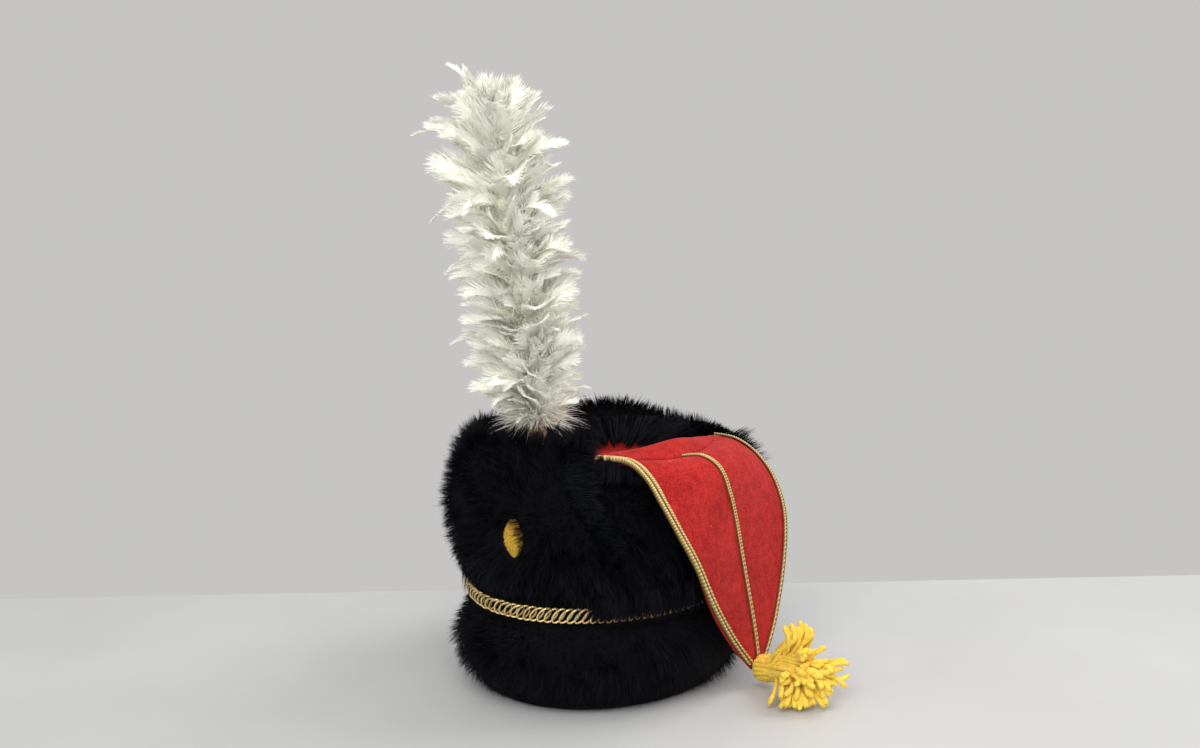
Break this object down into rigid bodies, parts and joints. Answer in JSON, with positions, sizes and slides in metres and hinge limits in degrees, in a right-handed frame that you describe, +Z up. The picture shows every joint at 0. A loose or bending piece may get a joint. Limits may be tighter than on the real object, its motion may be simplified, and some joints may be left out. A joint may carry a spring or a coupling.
{
  "type": "busby",
  "caption": "Oval black fur dress cap with a red felt crown and hanging bag, gold braid, wool tassel, curb chin chain, cockade and a tall white feather plume.",
  "frame": {"origin": "centre of the head opening, on the surface that the hat rests on", "axes": "+Z up along the plume, -Y the way the wearer faces, +X the wearer's left, where the bag hangs"},
  "size_m": [0.3246, 0.2824, 0.4674],
  "materials": {
    "shell_felt": "stiffened black felt",
    "red_felt": "thick wool felt with a short nap",
    "black_fur": "long soft fur pile",
    "gold_braid": "metallic thread braid with a central groove",
    "yellow_wool": "matt knitting wool",
    "gilt_chain": "polished gilt curb chain",
    "white_feather": "soft off-white feathers",
    "tan_binding": "wound thread binding"
  },
  "bodies": {
    "root": {"foundation": "shell_felt", "crown_top": "red_felt", "fur_cover": "black_fur", "bag_outer_panel": "red_felt", "bag_inner_panel": "red_felt", "braid_front_edge": "gold_braid", "braid_rear_edge": "gold_braid", "braid_centre": "gold_braid", "tassel": "yellow_wool", "chin_chain": "gilt_chain", "plume": "white_feather", "plume_holder": "tan_binding", "cockade": "yellow_wool"}
  },
  "joints": []
}
